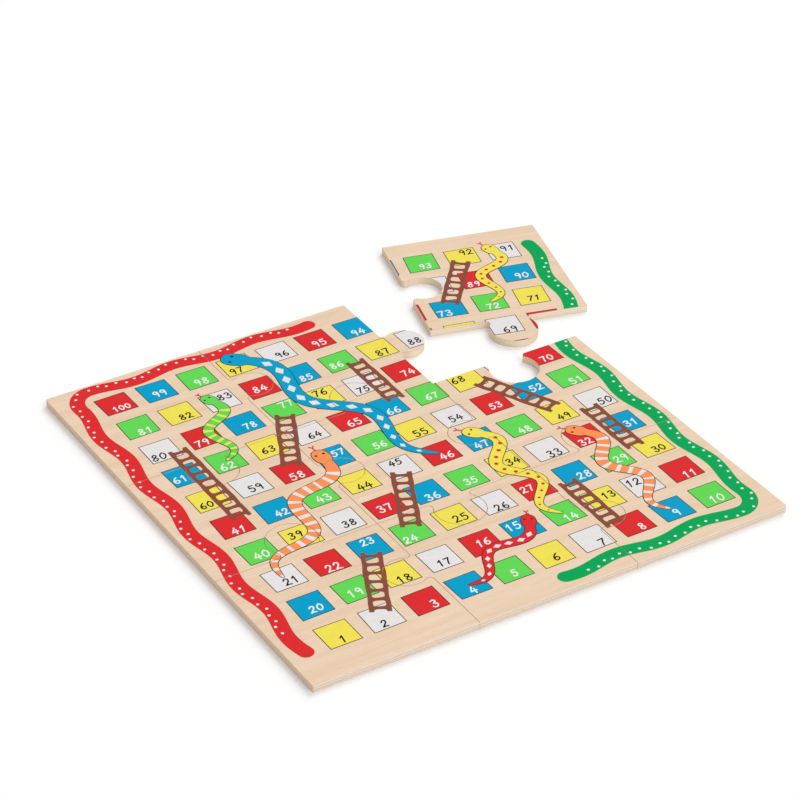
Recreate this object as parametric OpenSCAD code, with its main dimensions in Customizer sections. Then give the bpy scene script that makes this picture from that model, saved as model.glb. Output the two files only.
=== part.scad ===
// Snakes and ladders board: nine plywood plates that lock together like a jigsaw.
// The back right corner plate is out of its place and lies beside its gap.
// X runs along the rows of squares, left to right. Y runs from the front row to the back row.
// Z is up, and the origin is the middle of the assembled board's underside.

/* [Board] */
// Width of the assembled board, along a row of squares
board_w = 300; // [270:1:360]
// Depth of the assembled board, from the front row to the back row
board_d = 308; // [280:1:370]
// Thickness of the plywood
ply_t = 4.5; // [3:0.1:9]
// Radius of the board's outer corners
corner_r = 1; // [0.5:0.1:6]

/* [Jigsaw seams] */
// Width of the cut between two plates
kerf = 0.2; // [0.1:0.05:0.6]
// Radius of the round tongue on a left or right side
side_knob_r = 12.3; // [11:0.1:14]
// Distance from the seam to the centre of a side tongue
side_knob_reach = 9.8; // [8:0.1:12]
// Radius of the round tongue on a front or back side
front_knob_r = 14.8; // [13:0.1:16.5]
// Distance from the seam to the centre of a front tongue
front_knob_reach = 11.5; // [9:0.1:13.5]
// Radius of the rounded lips beside the neck of a tongue
lip_r = 2.5; // [1.5:0.1:4]

/* [Printed squares] */
// Bare wood between the left edge and the first column of squares
left_margin = 22.9; // [20:0.1:26]
// Bare wood between the last column of squares and the right edge
right_margin = 19.3; // [16:0.1:23]
// Bare wood between the front edge and the first row of squares
front_margin = 21; // [18:0.1:24]
// Bare wood between the last row of squares and the back edge
back_margin = 16.5; // [14:0.1:20]
// Bare wood between two squares of a row
column_gap = 7.5; // [5:0.1:10]
// Bare wood between two rows of squares
row_gap = 9.5; // [7:0.1:12]
// How far the corners of a square stray from true
corner_stray = 0.35; // [0:0.05:0.8]
// Bare rim between a plate's cut edge and the print
bare_rim = 0.1; // [0.05:0.05:1]
// Thickness of the printed ink
ink_t = 0.06; // [0.04:0.01:0.2]

/* [Loose corner plate] */
// How far the loose plate lies to the right of its place in the board
loose_x = 40.9; // [36:0.1:60]
// How far the loose plate lies behind its place in the board
loose_y = 35.8; // [32:0.1:60]
// How far the loose plate is turned, seen from above, in degrees
loose_turn = -14.7; // [-25:0.1:5]

/* [Hidden] */
// Arcs are drawn with this many sides in a full turn
$fn = 96;
// Plates along each side of the board
plates = 3;
// Squares along each side of the print
squares = 10;
// Size of one plate's cell between the middles of the seams
cell_w = board_w / plates;
cell_d = board_d / plates;
// Distance between the squares of a row, and between the rows
pitch_x = (board_w - left_margin - right_margin + column_gap) / squares;
pitch_y = (board_d - front_margin - back_margin + row_gap) / squares;
// Size of a printed square
square_w = pitch_x - column_gap;
square_d = pitch_y - row_gap;
// How far a tongue is carried back into its own plate, so that the two become one
tongue_root = 3;
// How far a lip bites into the knob and the seam, so that the arcs cross and don't just touch
lip_bite = 0.002;

// Which way each tongue points: 1 is right or back, -1 is left or front.
// A side tongue is read by its row of plates from the front, then by its seam from the left.
side_way = [[-1, 1], [1, -1], [1, 1]];
// A front tongue is read by its seam from the front, then by its column of plates.
front_way = [[1, -1, 1], [-1, 1, -1]];
// How far each tongue lies off the middle of its plate's side, read in the same way
side_shift = [[6, -5], [2, -3], [3, -3]];
front_shift = [[3, -4, -4], [-2, 4, -1]];

row_names = ["bottom", "middle", "top"];
column_names = ["left", "middle", "right"];
ink_names = ["yellow", "white", "red", "blue", "green"];
ink_colors = ["gold", "whitesmoke", "crimson", "deepskyblue", "limegreen"];

// Each plate is named by its row and column, apart from the one in the middle of the board
function plate_name(c, r) =
    c == 1 && r == 1 ? "centre" : str(row_names[r], "_", column_names[c]);
function plate_node(c, r) = str(plate_name(c, r), "_plate");
function ink_node(c, r, ink) = str(plate_name(c, r), "_", ink_names[ink], "_squares");

// Middle of a plate's cell in the assembled board
function cell_x(c) = (c - (plates - 1) / 2) * cell_w;
function cell_y(r) = (r - (plates - 1) / 2) * cell_d;
// Middle of a printed square, counted from the front left
function square_x(i) = -board_w / 2 + left_margin + square_w / 2 + i * pitch_x;
function square_y(j) = -board_d / 2 + front_margin + square_d / 2 + j * pitch_y;
// Each corner strays its own small way, by the sine of an angle that jumps from one to the next
function stray(i, j, k) = corner_stray * sin(997 * i + 613 * j + 331 * k);
// Corner k of a printed square, counted round from its front left corner
function square_corner(i, j, k) = [
    square_x(i) + (k == 0 || k == 3 ? -1 : 1) * square_w / 2 + stray(i, j, 2 * k),
    square_y(j) + (k < 2 ? -1 : 1) * square_d / 2 + stray(i, j, 2 * k + 1)
];
// The inks run along a row in turn, and each row starts three inks further on
function ink_of(i, j) = (i + 3 * j) % len(ink_names);

// A round tongue that points along +Y from a seam on the X axis. Its neck meets the seam in two
// round lips, which touch both the seam and the knob. grow moves the whole edge outwards, to a
// socket's wall, or inwards where it is negative, to the tongue's own wall.
module tongue(knob_r, reach, grow) {
    lip_x = sqrt((knob_r + lip_r) ^ 2 - (reach - lip_r) ^ 2);
    root_y = grow - tongue_root;
    difference() {
        union() {
            translate([0, reach]) circle(r = knob_r + grow);
            polygon([[-lip_x, root_y], [lip_x, root_y], [lip_x, lip_r], [0, reach], [-lip_x, lip_r]]);
        }
        for (side = [-1, 1])
            translate([side * lip_x, lip_r]) circle(r = lip_r - grow + lip_bite);
    }
}

// The tongue across seam s of plate row r, where it lies in the board
module side_tongue(r, s, grow) {
    translate([(cell_x(s) + cell_x(s + 1)) / 2, cell_y(r) + side_shift[r][s]])
        rotate(-90 * side_way[r][s])
            tongue(side_knob_r, side_knob_reach, grow);
}

// The tongue across seam s of plate column c, where it lies in the board
module front_tongue(c, s, grow) {
    translate([cell_x(c) + front_shift[s][c], (cell_y(s) + cell_y(s + 1)) / 2])
        rotate(90 - 90 * front_way[s][c])
            tongue(front_knob_r, front_knob_reach, grow);
}

// The tongues on the plate's own sides where own is true, and otherwise the sockets in them
module seam_shapes(c, r, own, grow) {
    for (end = [0, 1]) {
        s = c - 1 + end;
        if (s >= 0 && s < plates - 1 && (side_way[r][s] == 2 * end - 1) == own)
            side_tongue(r, s, grow);
    }
    for (end = [0, 1]) {
        s = r - 1 + end;
        if (s >= 0 && s < plates - 1 && (front_way[s][c] == 2 * end - 1) == own)
            front_tongue(c, s, grow);
    }
}

// A plate's cell, drawn back from the seams, with the board's outer corner rounded
module cell(c, r, gap) {
    low = [cell_x(c) - cell_w / 2 + (c > 0 ? gap : 0), cell_y(r) - cell_d / 2 + (r > 0 ? gap : 0)];
    high = [
        cell_x(c) + cell_w / 2 - (c < plates - 1 ? gap : 0),
        cell_y(r) + cell_d / 2 - (r < plates - 1 ? gap : 0)
    ];
    outer = [c == 0 ? -1 : c == plates - 1 ? 1 : 0, r == 0 ? -1 : r == plates - 1 ? 1 : 0];
    corner = [outer.x * board_w / 2, outer.y * board_d / 2];
    rounded = outer.x * outer.y != 0;
    difference() {
        polygon([low, [high.x, low.y], high, [low.x, high.y]]);
        if (rounded)
            translate(corner - outer * corner_r / 2) square(corner_r, center = true);
    }
    if (rounded)
        translate(corner - outer * corner_r) circle(r = corner_r);
}

// A plate's outline in the board, with every edge on a seam set back by gap from the seam's middle
module plate_outline(c, r, gap) {
    difference() {
        union() {
            cell(c, r, gap);
            seam_shapes(c, r, true, -gap);
        }
        seam_shapes(c, r, false, gap);
    }
}

// The printed squares of one ink, all over the board
module ink_squares(ink) {
    for (i = [0 : squares - 1], j = [0 : squares - 1])
        if (ink_of(i, j) == ink)
            polygon([for (k = [0 : 3]) square_corner(i, j, k)]);
}

// Lays what belongs to the loose plate beside its gap, and leaves the other plates in place
module in_place(c, r) {
    loose = c == plates - 1 && r == plates - 1;
    home = [cell_x(c), cell_y(r)];
    if (loose)
        translate(home + [loose_x, loose_y]) rotate(loose_turn) translate(-home) children();
    else
        children();
}

module plate(c, r) {
    color("burlywood") in_place(c, r)
        linear_extrude(ply_t) plate_outline(c, r, kerf / 2);
}

module printed_squares(c, r, ink) {
    color(ink_colors[ink]) in_place(c, r)
        translate([0, 0, ply_t])
            linear_extrude(ink_t)
                intersection() {
                    plate_outline(c, r, kerf / 2 + bare_rim);
                    ink_squares(ink);
                }
}

for (r = [0 : plates - 1], c = [0 : plates - 1]) {
    plate(c, r);
    for (ink = [0 : len(ink_names) - 1])
        printed_squares(c, r, ink);
}
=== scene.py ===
"""Snakes and ladders board: nine plywood plates with their print, on a pale floor.

The plates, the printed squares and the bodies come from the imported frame. Lengths are millimetres
until a mesh is made, and meshes are in metres, as the frame is. X runs along the rows of squares,
Y runs from the front row to the back row, and Z is up from the underside of the board.
"""
import math

import bpy
import numpy as np
from mathutils.geometry import delaunay_2d_cdt
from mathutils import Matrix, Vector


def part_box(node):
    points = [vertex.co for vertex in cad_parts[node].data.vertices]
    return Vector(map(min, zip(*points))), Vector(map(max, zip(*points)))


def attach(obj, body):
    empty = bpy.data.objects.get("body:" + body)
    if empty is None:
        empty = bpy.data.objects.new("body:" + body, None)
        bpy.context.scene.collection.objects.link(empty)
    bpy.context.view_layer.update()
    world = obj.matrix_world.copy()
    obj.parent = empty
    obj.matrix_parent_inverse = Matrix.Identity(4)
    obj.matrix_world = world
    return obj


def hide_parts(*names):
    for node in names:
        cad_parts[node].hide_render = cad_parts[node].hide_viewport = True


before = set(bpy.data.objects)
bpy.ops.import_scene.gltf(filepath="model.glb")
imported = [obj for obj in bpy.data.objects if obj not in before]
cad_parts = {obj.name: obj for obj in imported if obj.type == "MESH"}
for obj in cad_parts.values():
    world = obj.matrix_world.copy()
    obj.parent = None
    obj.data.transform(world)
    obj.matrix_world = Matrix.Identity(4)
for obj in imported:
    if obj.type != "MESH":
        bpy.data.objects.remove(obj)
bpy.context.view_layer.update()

MM = 0.001


# Sizes of the board, read from the frame

# Plates along each side of the board
PLATES = 3
ROW_NAMES = ("bottom", "middle", "top")
COLUMN_NAMES = ("left", "middle", "right")
# The back right plate is the one that lies beside the board
LOOSE_PLATE = (2, 2)


def plate_name(c, r):
    """A plate's name in the frame, by its column from the left and its row from the front."""
    return "centre" if (c, r) == (1, 1) else f"{ROW_NAMES[r]}_{COLUMN_NAMES[c]}"


def box_mm(node):
    """The lowest and highest corners of a CAD node, in millimetres."""
    low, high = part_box(node)
    return np.array(low) / MM, np.array(high) / MM


corner_low, corner_high = box_mm("bottom_left_plate")
BOARD_W, BOARD_D = -2 * corner_low[:2]
PLY_T = corner_high[2]
INK_T = box_mm("bottom_left_red_squares")[1][2] - PLY_T
CELL = np.array([BOARD_W, BOARD_D]) / PLATES


# Sizes of the jigsaw seams, as they are cut in the frame

KERF = 0.2
CORNER_R = 1.0
LIP_R = 2.5
# Radius of a tongue's knob and its distance from the seam
SIDE_KNOB = (12.3, 9.8)
FRONT_KNOB = (14.8, 11.5)
# Which way each tongue points, by plate row and seam for the sides, by seam and plate column in front
SIDE_WAY = ((-1, 1), (1, -1), (1, 1))
FRONT_WAY = ((1, -1, 1), (-1, 1, -1))
# How far each tongue lies off the middle of its side, read in the same way
SIDE_SHIFT = ((6, -5), (2, -3), (3, -3))
FRONT_SHIFT = ((3, -4, -4), (-2, 4, -1))
# How the loose plate lies: its move from its place in the board, and its turn in degrees
LOOSE_MOVE = np.array([40.9, 35.8])
LOOSE_TURN = -14.7
# Rounding of the sanded edges
EDGE_R = 0.15
# Points along each arc
EDGE_STEPS, LIP_STEPS, KNOB_STEPS, CORNER_STEPS = 4, 12, 72, 8
# A plate's walls are shaded smooth where they meet at less than this angle, in degrees
SMOOTH_ANGLE = 35


# Sizes of the print

# Squares along each side of their field, the margins round it and the gaps in it
SQUARES = 10
LEFT_MARGIN, RIGHT_MARGIN = 22.9, 19.3
FRONT_MARGIN, BACK_MARGIN = 21.0, 16.5
COLUMN_GAP, ROW_GAP = 7.5, 9.5
# How far the corners of a square stray from true, and the bare rim that each plate keeps
CORNER_STRAY, BARE_RIM = 0.35, 0.1
PITCH = np.array([
    (BOARD_W - LEFT_MARGIN - RIGHT_MARGIN + COLUMN_GAP) / SQUARES,
    (BOARD_D - FRONT_MARGIN - BACK_MARGIN + ROW_GAP) / SQUARES,
])
SQUARE = PITCH - (COLUMN_GAP, ROW_GAP)
FIRST_SQUARE = np.array([LEFT_MARGIN - BOARD_W / 2, FRONT_MARGIN - BOARD_D / 2]) + SQUARE / 2
# Inks run along a row of squares in turn, and each row starts some inks on
SQUARE_INKS = ("yellow", "white", "red", "blue", "green")
INK_SHIFT = 3
# Angles, in degrees, for the values that jump about from square to square
JUMP_ANGLES = (997, 613, 331)
# Each later ink lies this much higher than the one before
LAYER = 0.015
# The order in which the inks go on over the squares
LINES, NUMBERS, BANDS, LADDERS_AND_DOTS, TONGUES, EDGES, BODIES, MARKS, EYES = range(1, 10)
# Width of the line round a square
LINE_W = 0.42
# A printed face smaller than this, in square millimetres, is left out
LEAST_AREA = 1e-4
# Points closer than this are one in a triangulation, and a film's outline has no side shorter than this
SAME_POINT, LEAST_SIDE = 1e-5, 2e-3
# Points round a dot
DOT_STEPS = 14


# Plate outlines

def spin(degrees):
    """The matrix that turns points anticlockwise, where each point is a row times the matrix."""
    turn = math.radians(degrees)
    return np.array([[math.cos(turn), math.sin(turn)], [-math.sin(turn), math.cos(turn)]])


def plate_middle(c, r):
    """The middle of a plate's place in the assembled board."""
    return (np.array([c, r]) - (PLATES - 1) / 2) * CELL


def arc(centre, radius, start, end, steps):
    """Points at one distance from a centre, at even steps from one angle to another in degrees."""
    turn = np.radians(np.linspace(start, end, steps))
    return np.array(centre) + radius * np.stack([np.cos(turn), np.sin(turn)], axis=1)


def tongue_edge(knob_r, reach, grow):
    """The edge of a round tongue that points along +Y from a seam on the X axis.

    An arc round the first lip, the long arc round the knob and an arc round the second lip, each
    touching the next. grow moves the whole edge outwards, or inwards where it is negative.
    """
    lip_x = math.sqrt((knob_r + LIP_R) ** 2 - (reach - LIP_R) ** 2)
    lean = math.degrees(math.atan2(reach - LIP_R, lip_x))
    first_lip = arc((-lip_x, LIP_R), LIP_R - grow, -90, lean, LIP_STEPS)
    knob = arc((0, reach), knob_r + grow, 180 + lean, -lean, KNOB_STEPS)
    second_lip = first_lip[::-1] * (-1, 1)
    return np.concatenate([first_lip, knob[1:-1], second_lip])


def seam_on_side(c, r, side):
    """The tongue on one side of a plate as (way, base point, knob), or None on the board's edge.

    Sides are counted from the front one, anticlockwise. The base lies on the seam's middle line.
    """
    far = int(side in (1, 2))
    middle = plate_middle(c, r)
    if side in (0, 2):
        seam = r - 1 + far
        if not 0 <= seam < PLATES - 1:
            return None
        base = middle + (FRONT_SHIFT[seam][c], (far - 0.5) * CELL[1])
        return FRONT_WAY[seam][c], base, FRONT_KNOB
    seam = c - 1 + far
    if not 0 <= seam < PLATES - 1:
        return None
    base = middle + ((far - 0.5) * CELL[0], SIDE_SHIFT[r][seam])
    return SIDE_WAY[r][seam], base, SIDE_KNOB


def outline(c, r, inset):
    """A plate's edge in the assembled board, as one anticlockwise loop of points.

    Four straight sides with a tongue or a socket on each seam and a rounded corner where the plate
    has a corner of the board. inset draws the whole loop inwards by the same distance.
    """
    seams = [seam_on_side(c, r, side) for side in range(4)]
    back = [inset if seam is None else inset + KERF / 2 for seam in seams]
    low = (np.array([c, r]) - PLATES / 2) * CELL + (back[3], back[0])
    high = (np.array([c, r]) + 1 - PLATES / 2) * CELL - (back[1], back[2])
    corners = np.array([low, (high[0], low[1]), high, (low[0], high[1])])
    along = np.array([(1, 0), (0, 1), (-1, 0), (0, -1)])
    loop = []
    for side in range(4):
        if seams[side] is None and seams[side - 1] is None:
            centre = corners[side] + (CORNER_R - inset) * (along[side] - along[side - 1])
            start = 180 + 90 * side
            loop.append(arc(centre, CORNER_R - inset, start, start + 90, CORNER_STEPS))
        else:
            loop.append(corners[side:side + 1])
        if seams[side] is not None:
            way, base, knob = seams[side]
            outward = -along[(side + 1) % 4]
            own = way == outward.sum()
            edge = tongue_edge(*knob, -back[side] if own else back[side])
            points = outward if own else -outward
            loop.append(base + edge[:, :1] * along[side] + edge[:, 1:] * points)
    return np.concatenate(loop)


LOOSE_HOME = plate_middle(*LOOSE_PLATE)


def place_on_plate(plate, points):
    """Points of the assembled board as they lie on this plate. Those of the loose plate are turned
    about its own middle and moved to where it lies."""
    if plate != LOOSE_PLATE:
        return points
    return (points - LOOSE_HOME) @ spin(LOOSE_TURN) + LOOSE_HOME + LOOSE_MOVE


# Printed shapes: each is an array of faces, with shape (faces, corners, 2)

def smooth_path(points, steps):
    """A curve through all the points: on each span a cubic whose slope at a point is half the way
    from the point before it to the point after it."""
    points = np.array(points, float)
    ends = np.concatenate([2 * points[:1] - points[1:2], points, 2 * points[-1:] - points[-2:-1]])
    before, start, end, after = (ends[k:len(ends) - 3 + k, None, :] for k in range(4))
    u = np.linspace(0, 1, steps, endpoint=False)[None, :, None]
    curve = start + u / 2 * (end - before) + u ** 2 / 2 * (2 * before - 5 * start + 4 * end - after)
    curve = curve + u ** 3 / 2 * (3 * start - before - 3 * end + after)
    return np.concatenate([curve.reshape(-1, 2), points[-1:]])


def path_frame(path):
    """The unit direction along a path and the unit direction to its left, at each of its points."""
    along = np.gradient(path, axis=0)
    along = along / np.linalg.norm(along, axis=1, keepdims=True)
    return along, np.stack([-along[:, 1], along[:, 0]], axis=1)


def path_length(path):
    """The distance along a path from its start to each of its points."""
    return np.concatenate([[0], np.cumsum(np.linalg.norm(np.diff(path, axis=0), axis=1))])


def even_steps(path, step):
    """A path's line in points that lie evenly along it, about one step apart."""
    reach = path_length(path)
    even = np.linspace(0, reach[-1], round(reach[-1] / step))
    return np.stack([np.interp(even, reach, path[:, k]) for k in (0, 1)], axis=1)


def ribbon(path, half):
    """A strip along a path: its two edges lie half a width to the left and right of each point."""
    _, left = path_frame(path)
    half = np.broadcast_to(half, len(path))[:, None]
    one, two = path - left * half, path + left * half
    return np.stack([one[:-1], one[1:], two[1:], two[:-1]], axis=1)


def rounded_box(centre, size, turn, power, steps):
    """A closed curve where the powers of x and y, as shares of the half sizes, add up to one.

    A power of 2 gives an ellipse, and a higher one a box with rounded corners. turn is in degrees.
    """
    angle = np.linspace(0, 2 * np.pi, steps, endpoint=False)
    circle = np.stack([np.cos(angle), np.sin(angle)], axis=1)
    curve = np.sign(circle) * np.abs(circle) ** (2 / power) * np.array(size) / 2
    return (np.array(centre) + curve @ spin(turn))[None]


def disc(centre, radius, steps=DOT_STEPS):
    """A round dot."""
    return rounded_box(centre, (2 * radius, 2 * radius), 0, 2, steps)


def pen_stroke(path, width):
    """A line of one width with round ends."""
    return [ribbon(path, width / 2), disc(path[0], width / 2), disc(path[-1], width / 2)]


# Numbers: each digit is a few pen strokes, and each stroke a curve through points in a box that is
# one high

DIGITS = {
    "0": [[(0.32, 1), (0.07, 0.74), (0.04, 0.34), (0.27, 0), (0.54, 0.28), (0.56, 0.7), (0.32, 1)]],
    "1": [[(0.13, 0.76), (0.36, 1)], [(0.36, 1), (0.3, 0)]],
    "2": [[(0.05, 0.76), (0.22, 0.98), (0.48, 0.9), (0.47, 0.6), (0.24, 0.28), (0.02, 0.02)],
          [(0.02, 0.02), (0.3, 0.06), (0.58, 0)]],
    "3": [[(0.06, 0.9), (0.32, 1), (0.5, 0.8), (0.24, 0.54)],
          [(0.24, 0.54), (0.54, 0.36), (0.44, 0.06), (0.18, 0), (0.02, 0.16)]],
    "4": [[(0.36, 1), (0.02, 0.34)], [(0.02, 0.34), (0.62, 0.36)], [(0.46, 0.66), (0.4, 0)]],
    "5": [[(0.54, 0.98), (0.14, 0.97)], [(0.14, 0.97), (0.1, 0.56)],
          [(0.1, 0.56), (0.4, 0.6), (0.55, 0.34), (0.38, 0.04), (0.16, 0), (0.02, 0.12)]],
    "6": [[(0.48, 0.98), (0.2, 0.74), (0.04, 0.34), (0.2, 0.02), (0.46, 0.06), (0.54, 0.32),
           (0.32, 0.5), (0.07, 0.32)]],
    "7": [[(0.02, 0.95), (0.56, 0.98)], [(0.56, 0.98), (0.36, 0.5), (0.24, 0)]],
    "8": [[(0.3, 0.54), (0.09, 0.77), (0.3, 1), (0.51, 0.78), (0.3, 0.54), (0.05, 0.24), (0.28, 0),
           (0.55, 0.24), (0.3, 0.54)]],
    "9": [[(0.52, 0.74), (0.3, 0.5), (0.06, 0.7), (0.26, 0.99), (0.52, 0.8), (0.5, 0.4), (0.44, 0)]],
}
# Width of a digit and the step from one to the next, as shares of the height
DIGIT_W, DIGIT_STEP = 0.6, 0.83
# Points on each span of a digit's curves
DIGIT_STEPS = 6


# Squares

def square_place(number):
    """The column and row of a numbered square. Rows run right and left by turns from the front."""
    row, step = divmod(number - 1, SQUARES)
    return (step if row % 2 == 0 else SQUARES - 1 - step), row


def square_middle(number):
    """The middle of a numbered square in the assembled board."""
    return FIRST_SQUARE + PITCH * square_place(number)


def jump(*steps):
    """A value from -1 to 1 that jumps about from square to square: the sine of a large angle."""
    return math.sin(math.radians(sum(k * s for k, s in zip(JUMP_ANGLES, steps))))


def square_ink(number):
    """The name of a square's ink."""
    i, j = square_place(number)
    return SQUARE_INKS[(i + INK_SHIFT * j) % len(SQUARE_INKS)]


def square_corners(number):
    """The four corners of a printed square, each strayed a little from true, as in the frame."""
    i, j = square_place(number)
    true = np.array([(-1, -1), (1, -1), (1, 1), (-1, 1)]) * SQUARE / 2
    stray = np.array([[jump(i, j, 2 * k), jump(i, j, 2 * k + 1)] for k in range(4)])
    return square_middle(number) + true + CORNER_STRAY * stray


def square_lines(number):
    """The thin line round a square: four faces between the square drawn out and drawn in by half the
    line's width. They meet in mitres, where both sides' offset lines cross."""
    corners = square_corners(number)
    along = np.roll(corners, -1, axis=0) - corners
    along = along / np.linalg.norm(along, axis=1, keepdims=True)
    inward = np.stack([-along[:, 1], along[:, 0]], axis=1)
    before = np.roll(inward, 1, axis=0)
    mitre = LINE_W / 2 * (inward + before) / (1 + (inward * before).sum(axis=1, keepdims=True))
    outer, inner = corners - mitre, corners + mitre
    return np.stack([outer, np.roll(outer, -1, axis=0), np.roll(inner, -1, axis=0), inner], axis=1)


# Ladders

LADDER_W, RAIL_W, RUNG_W, RUNG_PITCH = 12.0, 2.5, 2.4, 7.4
# How far a ladder reaches into its squares, and how far its rails pass the last rungs
LADDER_REACH, RAIL_END = 5.5, 3.4
# A ladder's edges waver by two sines: how far each swings, and how far along it turns by one radian
WAVER = ((0.18, 5.3), (0.12, 2.1))
BAY_STEPS = 12
# The roundness of an opening, the points round it, and how far it may lean in degrees
OPENING_POWER, OPENING_STEPS, OPENING_LEAN = 3.6, 20, 3
# Each ladder: its low square, its high square, and how far it stands to the right of their middles
LADDERS = (
    (2, 23, 0), (8, 28, -8), (30, 50, -8), (24, 45, 0), (49, 68, 4), (66, 86, 8), (58, 77, 0),
    (41, 80, 8), (73, 92, 0),
)


def ladder_ends(low_square, high_square, shift):
    """The two ends of a ladder's middle line, each a little way inside the edge of its square."""
    low, high = square_middle(low_square), square_middle(high_square)
    along = (high - low) / np.linalg.norm(high - low)
    edge = min(half / abs(step) for half, step in zip(SQUARE / 2, along) if step)
    short = (edge - LADDER_REACH) * along
    return low + short + (shift, 0), high - short + (shift, 0)


def ladder(low_square, high_square, shift):
    """A ladder between two squares: one wide strip, and the openings between its rungs.

    The strip's edges waver a little, as a hand-drawn line does. The openings are rounded boxes one
    rung pitch apart, and the last one at each end cuts the strip into two rail ends.
    """
    low, high = ladder_ends(low_square, high_square, shift)
    span = np.linalg.norm(high - low)
    along = (high - low) / span
    bays = round((span - 2 * RAIL_END) / RUNG_PITCH)
    pitch = (span - 2 * RAIL_END) / bays
    reach = np.linspace(0, span, BAY_STEPS * bays)
    starts = (low_square, high_square)
    waver = sum(swing * np.sin(reach / wave + start) for (swing, wave), start in zip(WAVER, starts))
    strip = ribbon(low + reach[:, None] * along, LADDER_W / 2 + waver)
    turn = math.degrees(math.atan2(along[1], along[0]))
    size = (pitch - RUNG_W, LADDER_W - 2 * RAIL_W)
    openings = []
    for bay in range(-1, bays + 1):
        middle = low + (RAIL_END + (bay + 0.5) * pitch) * along
        lean = OPENING_LEAN * jump(bay, low_square)
        openings.append(rounded_box(middle, size, turn + lean, OPENING_POWER, OPENING_STEPS))
    return strip, openings


# Snakes

# Each snake: colour, head square, the head's shift in it, tail square, width, half waves, sideways
# swing, marks
SNAKES = (
    ("blue", 97, (4, 4), 46, 10.0, 4, 7.5, "diamonds"),
    ("orange", 57, (-5.5, 1.5), 21, 8.0, 4, 8.0, "bands"),
    ("yellow", 47, (2, 6), 14, 7.6, 4, 7.0, "dots"),
    ("orange", 32, (0, 5), 9, 7.5, 4, 6.5, "bands"),
    ("green", 83, (-4.5, 2), 62, 6.5, 3, 6.0, "bands"),
    ("yellow", 91, (-6, 2.5), 72, 7.0, 3, 6.5, "dots"),
    ("red", 15, (5.5, 2), 4, 6.5, 3, 5.5, "diamonds"),
)
MARK_INK = {"blue": "white", "orange": "white", "yellow": "red", "red": "white", "green": "yellow"}
# Width of the dark line round a snake, and the points along each of its half waves
SNAKE_EDGE, HALF_WAVE_STEPS = 0.4, 40
# The share of the width at the neck, how fast it fills out, and how late the tail runs out
NECK, NECK_GROWTH, TAIL_POWER = 0.72, 2.2, 2.6
# Widths of a tongue's stem and of its two prongs
STEM_W, PRONG_W = 0.8, 0.7
# The other sizes of a snake are shares of its width: length and width of its head, and how far the
# head's middle lies before the neck
HEAD_SIZE = np.array([1.75, 1.25])
HEAD_FORWARD = 0.25
# The head's roundness and the points round it
HEAD_POWER, HEAD_STEPS = 2.3, 36
# How far the eyes lie before the head's middle and to each side of it, and their radius
EYE_FORWARD, EYE_SIDE, EYE_R = 0.28, 0.3, 0.1
# Length of the tongue's stem, and how far its prongs reach forward and to each side
STEM_L, PRONG_FORWARD, PRONG_SIDE = 0.4, 0.22, 0.176
# Where bands start, how far apart they are and how long each is
FIRST_BAND, BAND_PITCH, BAND_L = 1.4, 0.9, 0.3
DOT_PITCH, DOT_R = 0.9, 0.17
DIAMOND_PITCH, DIAMOND = 1.05, np.array([(0.42, 0), (0, 0.27), (-0.42, 0), (0, -0.27)])
# The bare start and end of a row of marks, in steps from mark to mark
BARE_START, BARE_END = 1.6, 0.8


def snake_path(head_square, head_shift, tail_square, half_waves, swing):
    """A snake's middle line: the straight way from head to tail, swung sideways by a sine."""
    head, tail = square_middle(head_square) + head_shift, square_middle(tail_square)
    share = np.linspace(0, 1, HALF_WAVE_STEPS * half_waves)[:, None]
    way = (tail - head) / np.linalg.norm(tail - head)
    side = np.array([-way[1], way[0]])
    return head + share * (tail - head) + swing * np.sin(np.pi * half_waves * share) * side


def snake_half_width(path, width):
    """Half a snake's width along its path: a slim neck, a full body, and a tail that runs out."""
    share = path_length(path) / path_length(path)[-1]
    full = np.minimum(1, NECK + NECK_GROWTH * share)
    return width / 2 * full * np.sqrt(1 - share ** TAIL_POWER)


def marks_along(path, half, spacing, mark):
    """One mark at each step along a path, turned with it and shrunk with its width."""
    reach = path_length(path)
    places = np.arange(BARE_START * spacing, reach[-1] - BARE_END * spacing, spacing)
    at = np.searchsorted(reach, places)
    along, left = path_frame(path)
    scale = (half[at] / half.max())[:, None, None]
    turned = mark[None, :, :1] * along[at, None] + mark[None, :, 1:] * left[at, None]
    return path[at, None] + scale * turned


def snake(head_square, head_shift, tail_square, width, half_waves, swing, marks):
    """The flat shapes of one snake by ink: dark edge, body, marks, eyes and tongue."""
    path = snake_path(head_square, head_shift, tail_square, half_waves, swing)
    half = snake_half_width(path, width)
    along, left = path_frame(path)
    front, side = -along[0], left[0]
    turn = math.degrees(math.atan2(front[1], front[0]))
    middle = path[0] + HEAD_FORWARD * width * front
    head = HEAD_SIZE * width
    eyes, tongue = [], []
    tip = middle + 0.5 * head[0] * front
    fork = tip + STEM_L * width * front
    for way in (-1, 1):
        eye = middle + (EYE_FORWARD * front + EYE_SIDE * way * side) * width
        eyes.append(disc(eye, EYE_R * width))
        prong = fork + (PRONG_FORWARD * front + PRONG_SIDE * way * side) * width
        tongue += pen_stroke(np.stack([fork, prong]), PRONG_W)
    tongue += pen_stroke(np.stack([tip - front, fork]), STEM_W)
    body = ribbon(path, half)
    if marks == "bands":
        reach = path_length(path)[:-1]
        on_band = reach % (BAND_PITCH * width) < BAND_L * width
        inked = body[on_band & (reach > FIRST_BAND * width)]
    elif marks == "dots":
        inked = marks_along(path, half, DOT_PITCH * width, disc((0, 0), DOT_R * width)[0])
    else:
        inked = marks_along(path, half, DIAMOND_PITCH * width, DIAMOND * width)
    outer, inner = (
        rounded_box(middle, head + 2 * edge, turn, HEAD_POWER, HEAD_STEPS) for edge in (SNAKE_EDGE, 0)
    )
    return {
        "edge": [ribbon(path, half + SNAKE_EDGE), outer],
        "body": [body, inner],
        "marks": [inked],
        "eyes": eyes,
        "tongue": tongue,
    }


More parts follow.
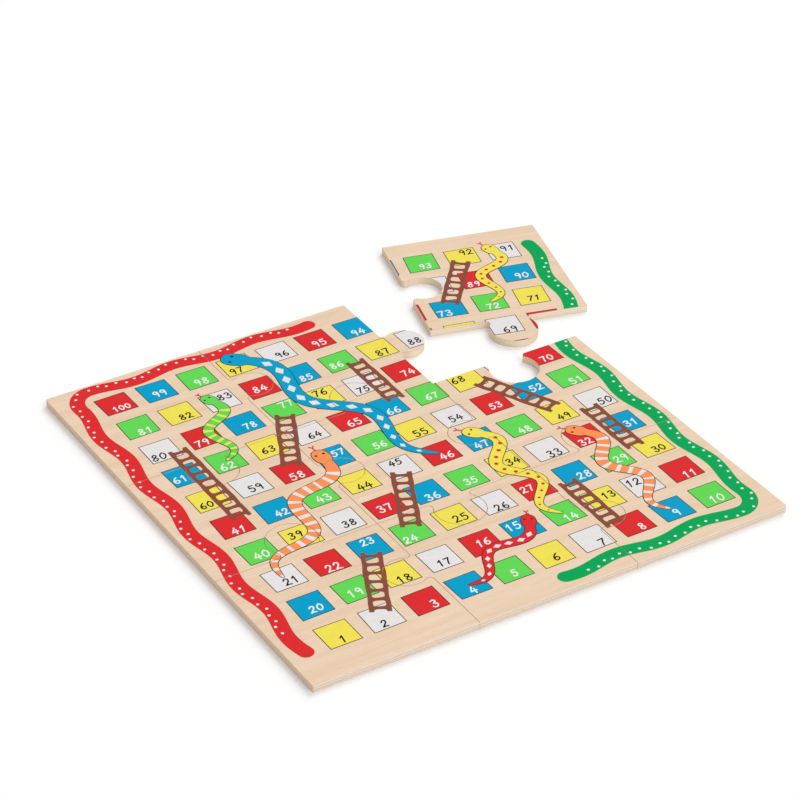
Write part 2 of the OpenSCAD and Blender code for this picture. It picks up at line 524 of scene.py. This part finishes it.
# Numbers in their squares

# Height of the digits, how far it sways as a share, and the share of it that three digits have
DIGIT_H, HEIGHT_SWAY, LONG_NUMBER = 5.6, 0.06, 0.86
NUMBER_STROKE = 0.9
# How far the digits lean and how far that sways, in degrees
LEAN, LEAN_SWAY = 4, 5
# A number's best place in its square and how far it sways, as shares of the room that it has to move
BEST_PLACE, PLACE_SWAY = (0.25, -0.85), 0.25
# Places tried along each side of that room, and points across a number's box that are tested
PLACE_STEPS, BOX_STEPS = 9, 5
NUMBER_MARGIN = 1.4
# A number keeps this far from ladders, snakes and seams where its square has room for that
NUMBER_CLEARANCE = 0.8
# Distance between the tested points of a seam, and the points on a ladder and on a head
SEAM_STEP, LADDER_POINTS, HEAD_POINTS = 1.0, 60, 4


def covered_ground():
    """Points along every seam, ladder and snake, as rows of x, y and half the width covered there."""
    rows = []

    def add(path, half):
        """Adds the points of a path that covers this half width."""
        rows.append(np.column_stack([path, np.broadcast_to(half, len(path))]))

    for c in range(PLATES):
        for r in range(PLATES):
            loop = outline(c, r, 0)
            add(even_steps(np.concatenate([loop, loop[:1]]), SEAM_STEP), KERF / 2)
    for row in LADDERS:
        add(np.linspace(*ladder_ends(*row), LADDER_POINTS), LADDER_W / 2)
    for _, head, head_shift, tail, width, half_waves, swing, _ in SNAKES:
        path = snake_path(head, head_shift, tail, half_waves, swing)
        add(path, snake_half_width(path, width))
        front = -path_frame(path)[0][0]
        forward = np.linspace(0, HEAD_FORWARD + HEAD_SIZE[0] / 4, HEAD_POINTS)[:, None]
        add(path[0] + forward * width * front, HEAD_SIZE[1] / 2 * width)
    return np.concatenate(rows)


def number_middle(number, size, covered):
    """The middle of a number: of the places that are clear, the one nearest to its best place.

    A place is as clear as its worst point on a grid over the number's box. Where no place is clear
    of ladders, snakes and seams, the clearest one is taken.
    """
    i, j = square_place(number)
    middle = square_middle(number)
    room = (SQUARE - size) / 2 - NUMBER_MARGIN
    best = np.array(BEST_PLACE) + PLACE_SWAY * np.array([jump(i, j, 3), jump(j, i, 5)])
    steps = np.linspace(-1, 1, PLACE_STEPS)
    shares = np.stack(np.meshgrid(steps, steps), axis=-1).reshape(-1, 2)
    shares = np.concatenate([best[None], shares[np.linalg.norm(shares - best, axis=1).argsort()]])
    places = middle + room * shares
    near = covered[np.abs(covered[:, :2] - middle).max(axis=1) < PITCH.max()]
    if len(near) == 0:
        return places[0]
    across = np.linspace(-0.5, 0.5, BOX_STEPS)
    grid = np.stack(np.meshgrid(across, across), axis=-1).reshape(-1, 2) * size
    points = places[:, None, None] + grid[None, :, None]
    clear = np.linalg.norm(points - near[:, :2], axis=-1) - near[:, 2]
    return places[np.minimum(clear.min(axis=(1, 2)), NUMBER_CLEARANCE).argmax()]


def number_strokes(number, covered):
    """A square's number in pen strokes, leaning a little, each its own way."""
    i, j = square_place(number)
    text = str(number)
    height = DIGIT_H * (1 + HEIGHT_SWAY * jump(j, i, 1)) * (1 if len(text) < 3 else LONG_NUMBER)
    width = DIGIT_STEP * (len(text) - 1) + DIGIT_W
    middle = number_middle(number, height * np.array([width, 1]), covered)
    lean = math.tan(math.radians(LEAN + LEAN_SWAY * jump(i, j, 7)))
    strokes = []
    for place, digit in enumerate(text):
        for points in DIGITS[digit]:
            curve = smooth_path(points, DIGIT_STEPS)
            path = height * (curve + (DIGIT_STEP * place - width / 2, -0.5))
            path[:, 0] += lean * path[:, 1]
            strokes += pen_stroke(path + middle, NUMBER_STROKE)
    return strokes


# Border bands

BORDER_W = 9.0
# How far each side's middle line lies from the edge of the board
BORDER_LEFT, BORDER_RIGHT = 10.8, 10.5
BORDER_FRONT, BORDER_BACK = 10.7, 7.8
# The red band starts this far behind the front line and ends here along the back line
RED_START, RED_END = 15, 20
# The green band starts this far before the back line and ends here along the front line
GREEN_START, GREEN_END = 14, 10
BORDER_TURN_R = 14.0
BORDER_WAVE, BORDER_SWING = 54.0, 1.9
# Distance between the points of a band, and the points round its turn and round its ends
BORDER_STEP, TURN_STEPS, END_STEPS = 1.5, 24, 28
BORDER_DOT_R, BORDER_DOT_PITCH = 0.85, 11.6
# Each row of dots: the points of the band that it skips, and its place as a share of the width
DOT_ROWS = ((0, 0.12), (4, 0.3))


def border_path(corner, ends):
    """The middle line of a border band: along one side, round a corner of the board, along the next.

    corner is the corner's point on the band's straight lines and ends are where the band starts and
    stops. The line is resampled at even steps and swings from side to side by a sine.
    """
    start, stop = np.array(ends, float)
    corner = np.array(corner, float)
    first = (corner - start) / np.linalg.norm(corner - start)
    second = (stop - corner) / np.linalg.norm(stop - corner)
    quarter = np.linspace(0, np.pi / 2, TURN_STEPS)[:, None]
    centre = corner + BORDER_TURN_R * (second - first)
    bend = centre + BORDER_TURN_R * (np.sin(quarter) * first - np.cos(quarter) * second)
    path = even_steps(np.concatenate([start[None], bend, stop[None]]), BORDER_STEP)
    _, left = path_frame(path)
    return path + BORDER_SWING * np.sin(2 * np.pi * path_length(path) / BORDER_WAVE)[:, None] * left


def border_band(path):
    """A band of one width with round ends, and two rows of dots that take turns along it."""
    half = np.full(len(path), BORDER_W / 2)
    dot = disc((0, 0), BORDER_DOT_R)[0]
    dots = [
        marks_along(path[skip:], half[skip:], BORDER_DOT_PITCH, dot + (0, row * BORDER_W))
        for skip, row in DOT_ROWS
    ]
    ends = [disc(path[k], BORDER_W / 2, END_STEPS) for k in (0, -1)]
    return [ribbon(path, half), *ends], dots


# Materials

def srgb(red, green, blue):
    """A screen colour, 0 to 255, as linear red, green, blue and alpha by the standard screen curve."""
    share = np.array([red, green, blue]) / 255
    linear = np.where(share <= 0.04045, share / 12.92, ((share + 0.055) / 1.055) ** 2.4)
    return (*linear.tolist(), 1.0)


INKS = {
    "yellow": srgb(245, 229, 88),
    "white": srgb(234, 231, 230),
    "bright_white": srgb(244, 241, 240),
    "red": srgb(225, 46, 49),
    "blue": srgb(0, 162, 206),
    "green": srgb(102, 220, 88),
    "black": srgb(36, 32, 30),
    "brown": srgb(140, 80, 62),
    "orange": srgb(255, 150, 90),
    "dark_green": srgb(0, 169, 88),
}
WOOD_DARK, WOOD_LIGHT, PORE = srgb(228, 197, 166), srgb(240, 215, 188), srgb(205, 168, 134)
# The plies on an edge: pale along the grain, paler still on a seam wall, which is painted light, and
# darker across the grain, on the walls that face left and right, which is painted shade
EDGE_ALONG, SEAM_LIT, EDGE_SIDE_SHADE = srgb(245, 229, 211), srgb(252, 236, 212), srgb(231, 206, 181)
# The glue between the plies, and the share of it and of the fibres that a pressed seam still shows
GLUE, SEAM_SHARE = srgb(182, 148, 117), 0.5
# Half the thickness of the middle ply, and of the glue line on each side of it
CORE_HALF, GLUE_HALF = 0.78, 0.15
# Painted shade along the top and bottom of a seam wall, where the crack and the floor shade it, and its
# height
RIM_SHADE, RIM_SHADE_H = srgb(212, 180, 150), 0.24
# The plies take over from the face between these depths
FACE_END, PLY_START = 0.004, 0.02
# How densely each noise lies along each axis, in clouds per millimetre
FIBRE_STRETCH, PORE_STRETCH, FIGURE_STRETCH = (0.05, 2.1, 2.1), (0.24, 3.0, 3.0), (0.011, 0.15, 0.15)
OUTER_PLY_STRETCH, CORE_STRETCH = (0.14, 1.4, 2.6), (1.4, 0.14, 2.6)
PATCH_STRETCH = (0.35, 0.5, 0.5)
# The values that most of a noise takes, those that make a pore, and those of the veneer's tone
NOISE_RANGE, PORE_RANGE, TONE_RANGE = (0.3, 0.7), (0.62, 0.72), (0.34, 0.66)
# Shares of the veneer's figure and fibres in its tone, and of patches and fibres in an ink's coat
FIGURE_SHARE, FIBRE_SHARE, COAT_SHARE = 0.55, 0.45, 0.5
# How strongly pores show on wood and through ink, and fibres and glue on an edge
WOOD_PORES, INK_PORES, EDGE_FIBRES, EDGE_GLUE = 0.3, 0.2, 0.3, 0.8
# An ink's thin coat, its full coat and its coat over a pore, as shares of its colour
INK_COATS = (0.9, 1.04, 0.6)
# Roughness, from smooth to rough places, and the level of the mirror shine
WOOD_ROUGHNESS, INK_ROUGHNESS = (0.5, 0.66), (0.42, 0.56)
WOOD_SHINE, INK_SHINE = 0.2, 0.02
# Depth of the relief in millimetres, and of its pores as a share
WOOD_RELIEF, WOOD_PORE_DEPTH = 0.06, 0.8
INK_RELIEF, INK_PORE_DEPTH = 0.04, 0.6
RELIEF_STRENGTH = 0.5


def add_node(tree, kind, inputs=None, **settings):
    """Adds a node, with its settings, and fills its inputs with values or with other outputs."""
    made = tree.nodes.new(kind)
    for name, value in settings.items():
        setattr(made, name, value)
    for key, value in (inputs or {}).items():
        if isinstance(value, bpy.types.NodeSocket):
            tree.links.new(value, made.inputs[key])
        else:
            made.inputs[key].default_value = value
    return made


def board_coords(tree, loose):
    """Object coordinates in millimetres. For the loose plate they are turned back to its place in
    the board, because all nine plates are cut from one printed sheet."""
    place = add_node(tree, "ShaderNodeTexCoord").outputs["Object"]
    inputs = {"Vector": place, "Scale": (1 / MM,) * 3}
    if loose:
        back = LOOSE_HOME - (LOOSE_HOME + LOOSE_MOVE) @ spin(-LOOSE_TURN)
        inputs |= {"Rotation": (0, 0, math.radians(-LOOSE_TURN)), "Location": (*back, 0)}
    return add_node(tree, "ShaderNodeMapping", inputs).outputs[0]


def noise(tree, coords, stretch, detail, roughness=0.55, distortion=0.0):
    """Cloudy noise whose clouds are about one over stretch millimetres long on each axis."""
    scaled = add_node(tree, "ShaderNodeMapping", {"Vector": coords, "Scale": stretch}).outputs[0]
    inputs = {"Vector": scaled, "Scale": 1.0, "Detail": detail, "Roughness": roughness}
    inputs["Distortion"] = distortion
    return add_node(tree, "ShaderNodeTexNoise", inputs).outputs["Fac"]


def spread(tree, value, low, high, to_low=0.0, to_high=1.0):
    """Stretches the values from low to high over another range, and holds those outside it."""
    inputs = {"Value": value, "From Min": low, "From Max": high, "To Min": to_low, "To Max": to_high}
    return add_node(tree, "ShaderNodeMapRange", inputs).outputs[0]


def mix(tree, factor, one, two):
    """A colour between two colours, by a factor. The node keeps its colour sockets at 6, 7 and 2."""
    return add_node(tree, "ShaderNodeMix", {0: factor, 6: one, 7: two}, data_type="RGBA").outputs[2]


def calc(tree, operation, one, two):
    """One step of arithmetic on two values."""
    return add_node(tree, "ShaderNodeMath", {0: one, 1: two}, operation=operation).outputs[0]


def times(tree, one, two):
    """The product of two values."""
    return calc(tree, "MULTIPLY", one, two)


def apart(tree, one, two):
    """How far two values lie apart. The last step has no use for its second value."""
    return calc(tree, "ABSOLUTE", calc(tree, "SUBTRACT", one, two), 0.0)


def wood_grain(tree, coords):
    """The veneer's fine fibres and its short dark pores, both drawn out along X."""
    fibre = noise(tree, coords, FIBRE_STRETCH, detail=5, roughness=0.65)
    pores = spread(tree, noise(tree, coords, PORE_STRETCH, detail=2), *PORE_RANGE)
    return fibre, pores


def new_material(name):
    """A material with only its surface shader and output, as (material, tree, shader)."""
    material = bpy.data.materials.new(name)
    material.use_nodes = True
    tree = material.node_tree
    return material, tree, tree.nodes["Principled BSDF"]


def weighted_sum(tree, *terms):
    """The sum of some values, each times its weight."""
    total = 0.0
    for value, weight in terms:
        total = calc(tree, "ADD", times(tree, value, weight), total)
    return total


def finish_surface(tree, shader, colour, roughness, shine, relief, depth):
    """Gives a shader its colour, roughness and shine, and a relief of some depth in millimetres."""
    shader.inputs["Specular IOR Level"].default_value = shine
    inputs = {"Strength": RELIEF_STRENGTH, "Distance": depth * MM, "Height": relief}
    bump = add_node(tree, "ShaderNodeBump", inputs)
    for name, value in (("Base Color", colour), ("Roughness", roughness), ("Normal", bump.outputs[0])):
        tree.links.new(value, shader.inputs[name])


def plywood(loose):
    """Pale veneer with fine grain on both faces, and three plies with thin glue lines on the edge.

    The mesh says how far each wall lies across the grain, in a face attribute that darkens the walls
    facing left and right as painted shade, and which walls are cut along a seam, in its attribute
    seam_wall. A seam wall is paler, which is painted light, with painted shade along its top and bottom.
    """
    material, tree, shader = new_material("loose_plywood" if loose else "plywood")
    coords = board_coords(tree, loose)
    fibre, pores = wood_grain(tree, coords)
    figure = noise(tree, coords, FIGURE_STRETCH, detail=4, distortion=0.7)
    tone = weighted_sum(tree, (figure, FIGURE_SHARE), (fibre, FIBRE_SHARE))
    face = mix(tree, spread(tree, tone, *TONE_RANGE), WOOD_DARK, WOOD_LIGHT)
    face = mix(tree, times(tree, pores, WOOD_PORES), face, PORE)
    height = add_node(tree, "ShaderNodeSeparateXYZ", {0: coords}).outputs[2]
    from_middle = apart(tree, height, PLY_T / 2)
    across, seam = (
        add_node(tree, "ShaderNodeAttribute", attribute_name=name).outputs["Fac"]
        for name in ("side_shade", "seam_wall")
    )
    outer_ply, core = (
        noise(tree, coords, stretch, detail=4, roughness=0.7)
        for stretch in (OUTER_PLY_STRETCH, CORE_STRETCH)
    )
    streaks = mix(tree, calc(tree, "LESS_THAN", from_middle, CORE_HALF), outer_ply, core)
    shown = spread(tree, seam, 0.0, 1.0, 1.0, SEAM_SHARE)
    # Walls that face left and right are darker, which is painted shade, and seam walls paler, which is
    # painted light
    plies = mix(tree, across, mix(tree, seam, EDGE_ALONG, SEAM_LIT), EDGE_SIDE_SHADE)
    fibres = spread(tree, streaks, *NOISE_RANGE, EDGE_FIBRES, 0.0)
    plies = mix(tree, times(tree, fibres, shown), plies, PORE)
    off_glue = apart(tree, from_middle, CORE_HALF)
    glue = spread(tree, off_glue, GLUE_HALF, GLUE_HALF / 2, 0.0, EDGE_GLUE)
    plies = mix(tree, times(tree, glue, shown), plies, GLUE)
    # Painted shade along the top and bottom of each seam wall
    rim = spread(tree, from_middle, PLY_T / 2 - RIM_SHADE_H, PLY_T / 2 - RIM_SHADE_H / 2)
    plies = mix(tree, times(tree, rim, seam), plies, RIM_SHADE)
    on_edge = spread(tree, from_middle, PLY_T / 2 - FACE_END, PLY_T / 2 - PLY_START)
    colour = mix(tree, on_edge, face, plies)
    relief = calc(tree, "SUBTRACT", fibre, times(tree, pores, WOOD_PORE_DEPTH))
    roughness = spread(tree, fibre, *NOISE_RANGE, *WOOD_ROUGHNESS)
    finish_surface(tree, shader, colour, roughness, WOOD_SHINE, relief, WOOD_RELIEF)
    return material


def ink(name, loose):
    """Printed ink: a thin coat that is a little uneven and lets the grain of the wood show."""
    material, tree, shader = new_material(f"loose_{name}_ink" if loose else f"{name}_ink")
    coords = board_coords(tree, loose)
    fibre, pores = wood_grain(tree, coords)
    patch = noise(tree, coords, PATCH_STRETCH, detail=5, roughness=0.7)
    colour = np.array(INKS[name][:3])
    thin, full, pore = ((*(share * colour).tolist(), 1.0) for share in INK_COATS)
    cover = weighted_sum(tree, (patch, COAT_SHARE), (fibre, COAT_SHARE))
    coat = mix(tree, spread(tree, cover, *NOISE_RANGE), thin, full)
    coat = mix(tree, times(tree, pores, INK_PORES), coat, pore)
    relief = calc(tree, "SUBTRACT", fibre, times(tree, pores, INK_PORE_DEPTH))
    roughness = spread(tree, patch, *NOISE_RANGE, *INK_ROUGHNESS)
    finish_surface(tree, shader, coat, roughness, INK_SHINE, relief, INK_RELIEF)
    return material


# Meshes

def add_object(name, data):
    """A new object in the scene."""
    made = bpy.data.objects.new(name, data)
    bpy.context.scene.collection.objects.link(made)
    return made


def add_piece(name, verts, faces, material, body):
    """Puts a mesh given in millimetres into the scene in metres, with its finish, on its body."""
    mesh = bpy.data.meshes.new(name)
    mesh.from_pydata((verts * MM).tolist(), [], faces)
    mesh.materials.append(material)
    mesh.update()
    piece = add_object(name, mesh)
    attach(piece, body)
    return piece


def make_plate(plate, material):
    """A plate: its outline carried up a profile with a quarter round at each edge, closed by two faces.

    The profile gives an inset and a height at each step, and each ring is the outline at that inset.
    """
    turn = np.linspace(0, np.pi / 2, EDGE_STEPS)
    inset = EDGE_R * (1 - np.concatenate([np.sin(turn), np.cos(turn)]))
    height = np.concatenate([EDGE_R * (1 - np.cos(turn)), PLY_T - EDGE_R + EDGE_R * np.sin(turn)])
    loops = np.stack([outline(*plate, step) for step in inset])
    rings = place_on_plate(plate, loops)
    levels = np.broadcast_to(height[:, None, None], (*rings.shape[:2], 1))
    index = np.arange(levels.size).reshape(rings.shape[:2])
    low, high = index[:-1], index[1:]
    walls = np.stack([low, np.roll(low, -1, 1), np.roll(high, -1, 1), high], axis=-1).reshape(-1, 4)
    faces = [*walls.tolist(), index[0, ::-1].tolist(), index[-1].tolist()]
    name = plate_name(*plate)
    verts = np.concatenate([rings, levels], axis=2).reshape(-1, 3)
    piece = add_piece(f"{name}_board", verts, faces, material, name)
    sides = np.roll(loops[:-1], -1, axis=1) - loops[:-1]
    middles = loops[:-1] + sides / 2
    outer = (np.abs(middles) > np.array([BOARD_W, BOARD_D]) / 2 - CORNER_R).any(axis=-1)
    # A face attribute for each wall: how far it faces left or right, for the painted shade there, and
    # whether it is cut along a seam
    for label, values in (
        ("side_shade", np.abs(sides[..., 1]) / np.linalg.norm(sides, axis=-1)),
        ("seam_wall", ~outer),
    ):
        walls_and_faces = np.concatenate([values.ravel(), [0, 0]]).astype(np.float32)
        piece.data.attributes.new(label, "FLOAT", "FACE").data.foreach_set("value", walls_and_faces)
    # Marking sharp edges makes all faces smooth, so the top and the bottom are set flat after it
    piece.data.set_sharp_from_angle(angle=math.radians(SMOOTH_ANGLE))
    piece.data.polygons.foreach_set("use_smooth", np.repeat([True, False], [len(walls), 2]))
    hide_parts(f"{name}_plate")


def whole_faces(faces):
    """The faces of a shape, all anticlockwise, without those that are as good as empty.

    Quads become two triangles each, because a strip's quad may fold over in a tight bend.
    """
    if faces.shape[1] == 4:
        faces = faces[:, [[0, 1, 2], [0, 2, 3]]].reshape(-1, 3, 2)
    following = np.roll(faces, -1, axis=1)
    area = (faces[..., 0] * following[..., 1] - faces[..., 1] * following[..., 0]).sum(axis=1) / 2
    faces = np.where(area[:, None, None] < 0, faces[:, ::-1], faces)
    return faces[np.abs(area) > LEAST_AREA]


def lone_sides(sides, count):
    """The directed sides, as pairs of point numbers below count, that don't also run the other way."""
    return sides[~np.isin(sides[:, 0] * count + sides[:, 1], sides[:, 1] * count + sides[:, 0])]


def rim_sides(triangles, count):
    """The sides of some anticlockwise triangles that only one of them has."""
    sides = np.concatenate([triangles[:, [0, 1]], triangles[:, [1, 2]], triangles[:, [2, 0]]])
    return lone_sides(sides, count)


def plain_area(points, triangles):
    """The same flat area, triangulated from its outline alone, without points and lines inside it.

    Very short sides are closed up first. A triangle is inside the outline where a line from its middle
    to the right crosses an odd number of sides.
    """
    sides = rim_sides(triangles, len(points))
    length = np.linalg.norm(points[sides[:, 1]] - points[sides[:, 0]], axis=1)
    same = np.arange(len(points))
    for one, two in sides[length < LEAST_SIDE]:
        same[same == same[two]] = same[one]
    sides = lone_sides(same[sides], len(points))
    used, sides = np.unique(sides, return_inverse=True)
    corners, sides = points[used], sides.reshape(-1, 2)
    found, _, triangles, *_ = delaunay_2d_cdt(corners.tolist(), sides.tolist(), [], 1, SAME_POINT, True)
    found, triangles = np.array([tuple(point) for point in found]), np.array(triangles)
    x, y = found[triangles].mean(axis=1).T[..., None]
    (x0, y0), (x1, y1) = corners[sides[:, 0]].T, corners[sides[:, 1]].T
    on_right = ((x - x0) * (y1 - y0) < (y - y0) * (x1 - x0)) == (y1 > y0)
    crossed = on_right & ((y0 > y) != (y1 > y))
    return found, triangles[crossed.sum(axis=1) % 2 == 1]


def cut_to_plate(plate, shapes, holes):
    """The part of some flat shapes that lies on a plate and in no hole, as points and triangles.

    All the outlines are triangulated together, and a triangle is kept where it lies inside the
    plate's bare rim and inside a shape, but inside no hole.
    """
    rim = outline(*plate, BARE_RIM)
    low, high = rim.min(axis=0), rim.max(axis=0)
    loops = [rim]
    for group in (shapes, holes):
        faces = [face for shape in group for face in whole_faces(shape)]
        loops += [f for f in faces if (f.max(axis=0) > low).all() and (f.min(axis=0) < high).all()]
        if group is shapes:
            first_hole = len(loops)
    if first_hole == 1:
        return None
    ends = np.cumsum([0, *(len(loop) for loop in loops)])
    rows = [list(range(a, b)) for a, b in zip(ends, ends[1:])]
    points = np.concatenate(loops).tolist()
    found, _, triangles, _, _, sources = delaunay_2d_cdt(points, [], rows, 1, SAME_POINT, True)
    kept = [
        triangle
        for triangle, source in zip(triangles, sources)
        if 0 in source and 0 < max(source) < first_hole
    ]
    if not kept:
        return None
    return plain_area(np.array([tuple(point) for point in found]), np.array(kept))


def make_film(plate, part, shapes, holes, level, material):
    """A printed film on one plate: the cut shapes at the top, the same below, and walls between."""
    cut = cut_to_plate(plate, shapes, holes)
    if cut is None:
        return
    flat, top = cut
    count = len(flat)
    rim = rim_sides(top, count)
    walls = np.stack([rim[:, 0] + count, rim[:, 1] + count, rim[:, 1], rim[:, 0]], axis=1)
    flat = place_on_plate(plate, flat)
    height = np.repeat([PLY_T + INK_T + level * LAYER, PLY_T], count)
    verts = np.column_stack([np.tile(flat, (2, 1)), height])
    faces = [*top.tolist(), *(top[:, ::-1] + count).tolist(), *walls.tolist()]
    name = plate_name(*plate)
    piece = add_piece(f"{name}_{part}", verts, faces, material, name)


# The whole print, as (name, ink, level, shapes, holes)

def print_layers():
    """Every ink of the print in the order it goes on, with its flat shapes."""
    numbers = range(1, SQUARES ** 2 + 1)
    covered = covered_ground()
    layers = [("square_lines", "black", LINES, [square_lines(n) for n in numbers], [])]
    for part, pen, inks in (
        ("dark_numbers", "black", ("yellow", "white")),
        ("white_numbers", "bright_white", ("red", "blue", "green")),
    ):
        strokes = [s for n in numbers if square_ink(n) in inks for s in number_strokes(n, covered)]
        layers.append((part, pen, NUMBERS, strokes, []))
    left, right = BORDER_LEFT - BOARD_W / 2, BOARD_W / 2 - BORDER_RIGHT
    front, back = BORDER_FRONT - BOARD_D / 2, BOARD_D / 2 - BORDER_BACK
    red_path = border_path((left, back), ((left, front + RED_START), (RED_END, back)))
    green_path = border_path((right, front), ((right, back - GREEN_START), (GREEN_END, front)))
    for colour, pen, path in (("red", "red", red_path), ("green", "dark_green", green_path)):
        band, dots = border_band(path)
        layers.append((f"{colour}_border", pen, BANDS, band, []))
        layers.append((f"{colour}_border_dots", "bright_white", LADDERS_AND_DOTS, dots, []))
    strips, openings = zip(*(ladder(*row) for row in LADDERS))
    layers.append(("ladders", "brown", LADDERS_AND_DOTS, strips, [s for row in openings for s in row]))
    drawn = [(colour, snake(*row)) for colour, *row in SNAKES]

    def add_snakes(name, pen, level, part, colours):
        """Adds a layer with one part of every snake of some colours."""
        shapes = [s for colour, parts in drawn if colour in colours for s in parts[part]]
        layers.append((name, pen, level, shapes, []))

    add_snakes("snake_tongues", "red", TONGUES, "tongue", MARK_INK)
    add_snakes("snake_edges", "black", EDGES, "edge", MARK_INK)
    for colour in sorted(MARK_INK):
        add_snakes(f"{colour}_snakes", colour, BODIES, "body", (colour,))
    for pen in sorted(set(MARK_INK.values())):
        marked = [colour for colour in MARK_INK if MARK_INK[colour] == pen]
        add_snakes(f"{pen}_snake_marks", pen, MARKS, "marks", marked)
    add_snakes("snake_eyes", "black", EYES, "eyes", MARK_INK)
    return layers


# The board

# The wood and each ink, as materials for the fixed plates and for the loose one
woods = {loose: plywood(loose) for loose in (False, True)}
inks = {(name, loose): ink(name, loose) for name in INKS for loose in (False, True)}
layers = print_layers()
for r in range(PLATES):
    for c in range(PLATES):
        plate, loose = (c, r), (c, r) == LOOSE_PLATE
        make_plate(plate, woods[loose])
        for colour in SQUARE_INKS:
            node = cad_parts[f"{plate_name(c, r)}_{colour}_squares"]
            node.data.materials.clear()
            node.data.materials.append(inks[colour, loose])
        for part, pen, level, shapes, holes in layers:
            make_film(plate, part, shapes, holes, level, inks[pen, loose])


# Floor, light and camera

# The camera: its azimuth and height in degrees, its distance and lens, and the point it looks at
CAMERA_AZIMUTH, CAMERA_ELEVATION = -31.519, 33.319
CAMERA_DISTANCE, CAMERA_LENS = 1685.24, 131.256
CAMERA_TARGET = (24.309, 46.370)
# Width of the camera's sensor in millimetres, and how far it sees in metres
SENSOR_W, CLIP_END = 36, 100
# Each soft sun: its name, its azimuth, height and spread in degrees, and its share of the light
SUNS = (("key_sun", 122.0, 42.0, 36.0, 0.25), ("fill_sun", 25.0, 44.0, 40.0, 0.17))
SKY_SHARE = 0.58
FLOOR_SIZE, FLOOR_ROUGHNESS = 8000.0, 0.9


def make_floor():
    """A wide pale floor at the height of the board's underside."""
    mesh = bpy.data.meshes.new("floor")
    corners = np.array([(-1, -1, 0), (1, -1, 0), (1, 1, 0), (-1, 1, 0)]) * FLOOR_SIZE / 2
    mesh.from_pydata((corners * MM).tolist(), [], [(0, 1, 2, 3)])
    material, _, shader = new_material("pale_floor")
    shader.inputs["Base Color"].default_value = srgb(255, 255, 255)
    shader.inputs["Roughness"].default_value = FLOOR_ROUGHNESS
    shader.inputs["Specular IOR Level"].default_value = 0.0
    mesh.materials.append(material)
    floor = add_object("floor", mesh)


def direction(azimuth, elevation):
    """The unit vector towards a place in the sky: azimuth 0 lies in front, along -Y, and turns to +X."""
    azimuth, elevation = math.radians(azimuth), math.radians(elevation)
    flat = math.cos(elevation)
    return np.array([math.sin(azimuth) * flat, -math.cos(azimuth) * flat, math.sin(elevation)])


def make_light():
    """Two broad soft suns, from the back right and from the front, and an even white sky."""
    for name, azimuth, elevation, spread_angle, share in SUNS:
        sun = bpy.data.lights.new(name, "SUN")
        sun.energy = share * math.pi / math.sin(math.radians(elevation))
        sun.angle = math.radians(spread_angle)
        lamp = add_object(name, sun)
        lamp.rotation_euler = (math.radians(90 - elevation), 0, math.radians(azimuth))
    world = bpy.data.worlds.new("white_sky")
    world.use_nodes = True
    sky = world.node_tree.nodes["Background"]
    sky.inputs["Color"].default_value = (1, 1, 1, 1)
    sky.inputs["Strength"].default_value = SKY_SHARE
    bpy.context.scene.world = world


def make_camera():
    """The camera looks at a point on the board's top face from the photograph's side and height."""
    lens = bpy.data.cameras.new("camera")
    lens.lens = CAMERA_LENS
    lens.sensor_width = SENSOR_W
    lens.clip_end = CLIP_END
    camera = add_object("camera", lens)
    target = np.array([*CAMERA_TARGET, PLY_T])
    camera.location = (target + CAMERA_DISTANCE * direction(CAMERA_AZIMUTH, CAMERA_ELEVATION)) * MM
    camera.rotation_euler = (math.radians(90 - CAMERA_ELEVATION), 0, math.radians(CAMERA_AZIMUTH))
    bpy.context.scene.camera = camera


make_floor()
make_light()
make_camera()
bpy.context.scene.view_settings.view_transform = "Standard"
